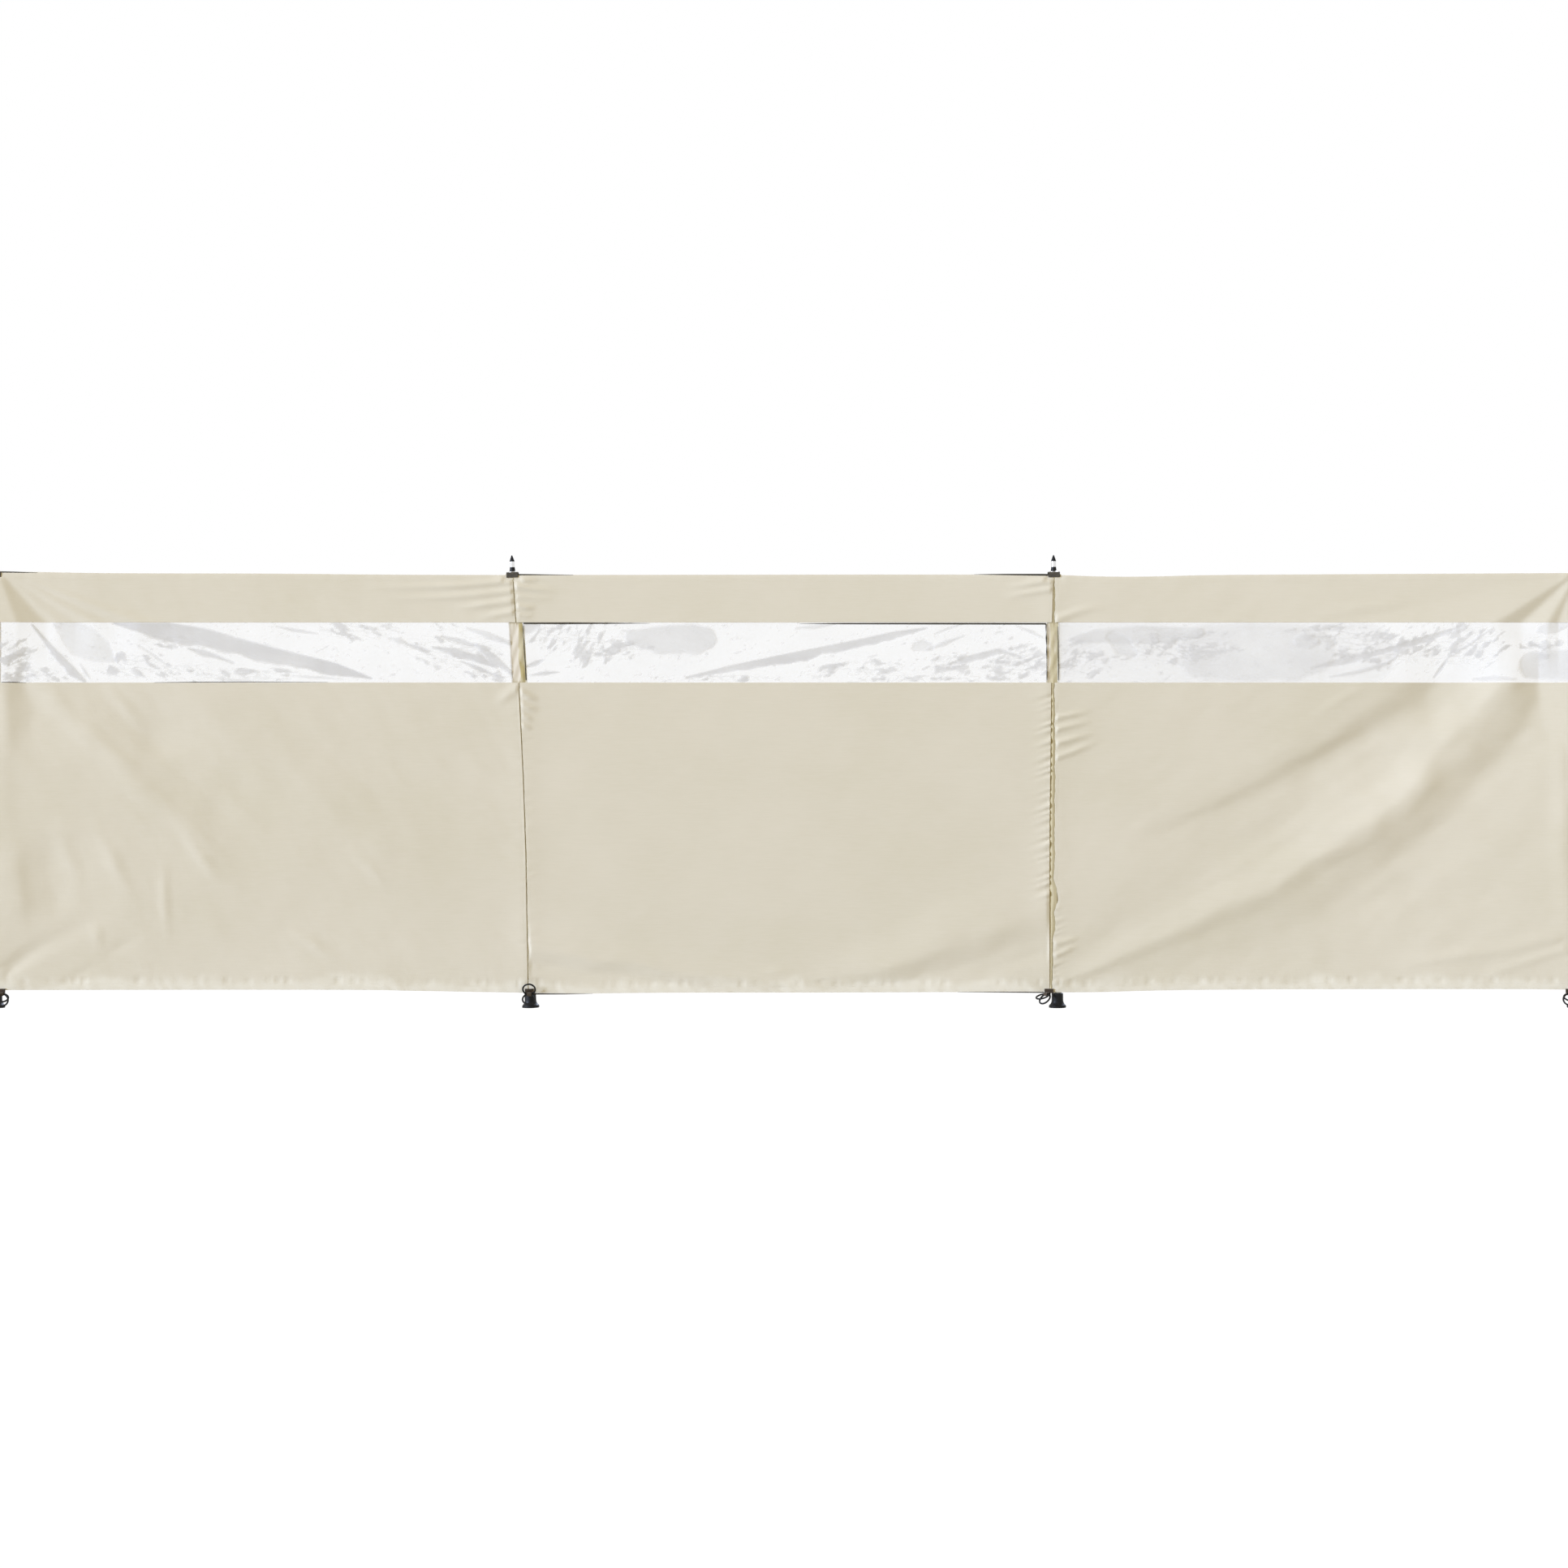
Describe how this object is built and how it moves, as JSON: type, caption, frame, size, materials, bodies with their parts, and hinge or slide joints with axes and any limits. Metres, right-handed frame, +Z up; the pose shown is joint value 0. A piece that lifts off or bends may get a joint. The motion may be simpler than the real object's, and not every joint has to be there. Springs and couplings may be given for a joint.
{
  "type": "beach windbreak",
  "caption": "Low screen of beige cloth bays with a clear window strip, sewn onto upright poles in sleeves, with spikes for guy lines on top and rings for ground pegs along the foot.",
  "frame": {"origin": "on the ground under the middle of the left end pole's foot", "axes": "+X along the windbreak from its left end, +Y towards its back, +Z up"},
  "size_m": [4.549, 0.0849, 1.291],
  "materials": {
    "cloth": "beige plain-woven cloth",
    "window_film": "clear soft film",
    "webbing": "black woven webbing",
    "ring_rubber": "black rubber",
    "black_plastic": "black moulded plastic, slightly shiny",
    "spike_steel": "bright plated steel",
    "eyelet_metal": "nickel-plated",
    "pole_steel": "galvanised tube"
  },
  "bodies": {
    "root": {"left_bay_top_band": "cloth", "left_bay_window": "window_film", "left_bay_lower_panel": "cloth", "centre_bay_top_band": "cloth", "centre_bay_window": "window_film", "centre_bay_lower_panel": "cloth", "right_bay_top_band": "cloth", "right_bay_window": "window_film", "right_bay_lower_panel": "cloth", "left_end_pole": "pole_steel", "left_end_foot": "black_plastic", "left_end_sleeve": "cloth", "left_end_top_tab": "webbing", "left_end_spike": "spike_steel", "left_end_spike_cap": "black_plastic", "left_end_peg_tab": "webbing", "left_end_peg_rings": "ring_rubber", "left_inner_pole": "pole_steel", "left_inner_foot": "black_plastic", "left_inner_sleeve": "cloth", "left_inner_top_tab": "webbing", "left_inner_spike": "spike_steel", "left_inner_spike_cap": "black_plastic", "left_inner_peg_tab": "webbing", "left_inner_peg_rings": "ring_rubber", "right_inner_pole": "pole_steel", "right_inner_foot": "black_plastic", "right_inner_sleeve": "cloth", "right_inner_top_tab": "webbing", "right_inner_spike": "spike_steel", "right_inner_spike_cap": "black_plastic", "right_inner_peg_tab": "webbing", "right_inner_peg_rings": "ring_rubber", "right_end_pole": "pole_steel", "right_end_foot": "black_plastic", "right_end_sleeve": "cloth", "right_end_top_tab": "webbing", "right_end_spike": "spike_steel", "right_end_spike_cap": "black_plastic", "right_end_peg_tab": "webbing", "right_end_peg_rings": "ring_rubber", "pole_plugs": "black_plastic", "eyelets": "eyelet_metal"}
  },
  "joints": []
}
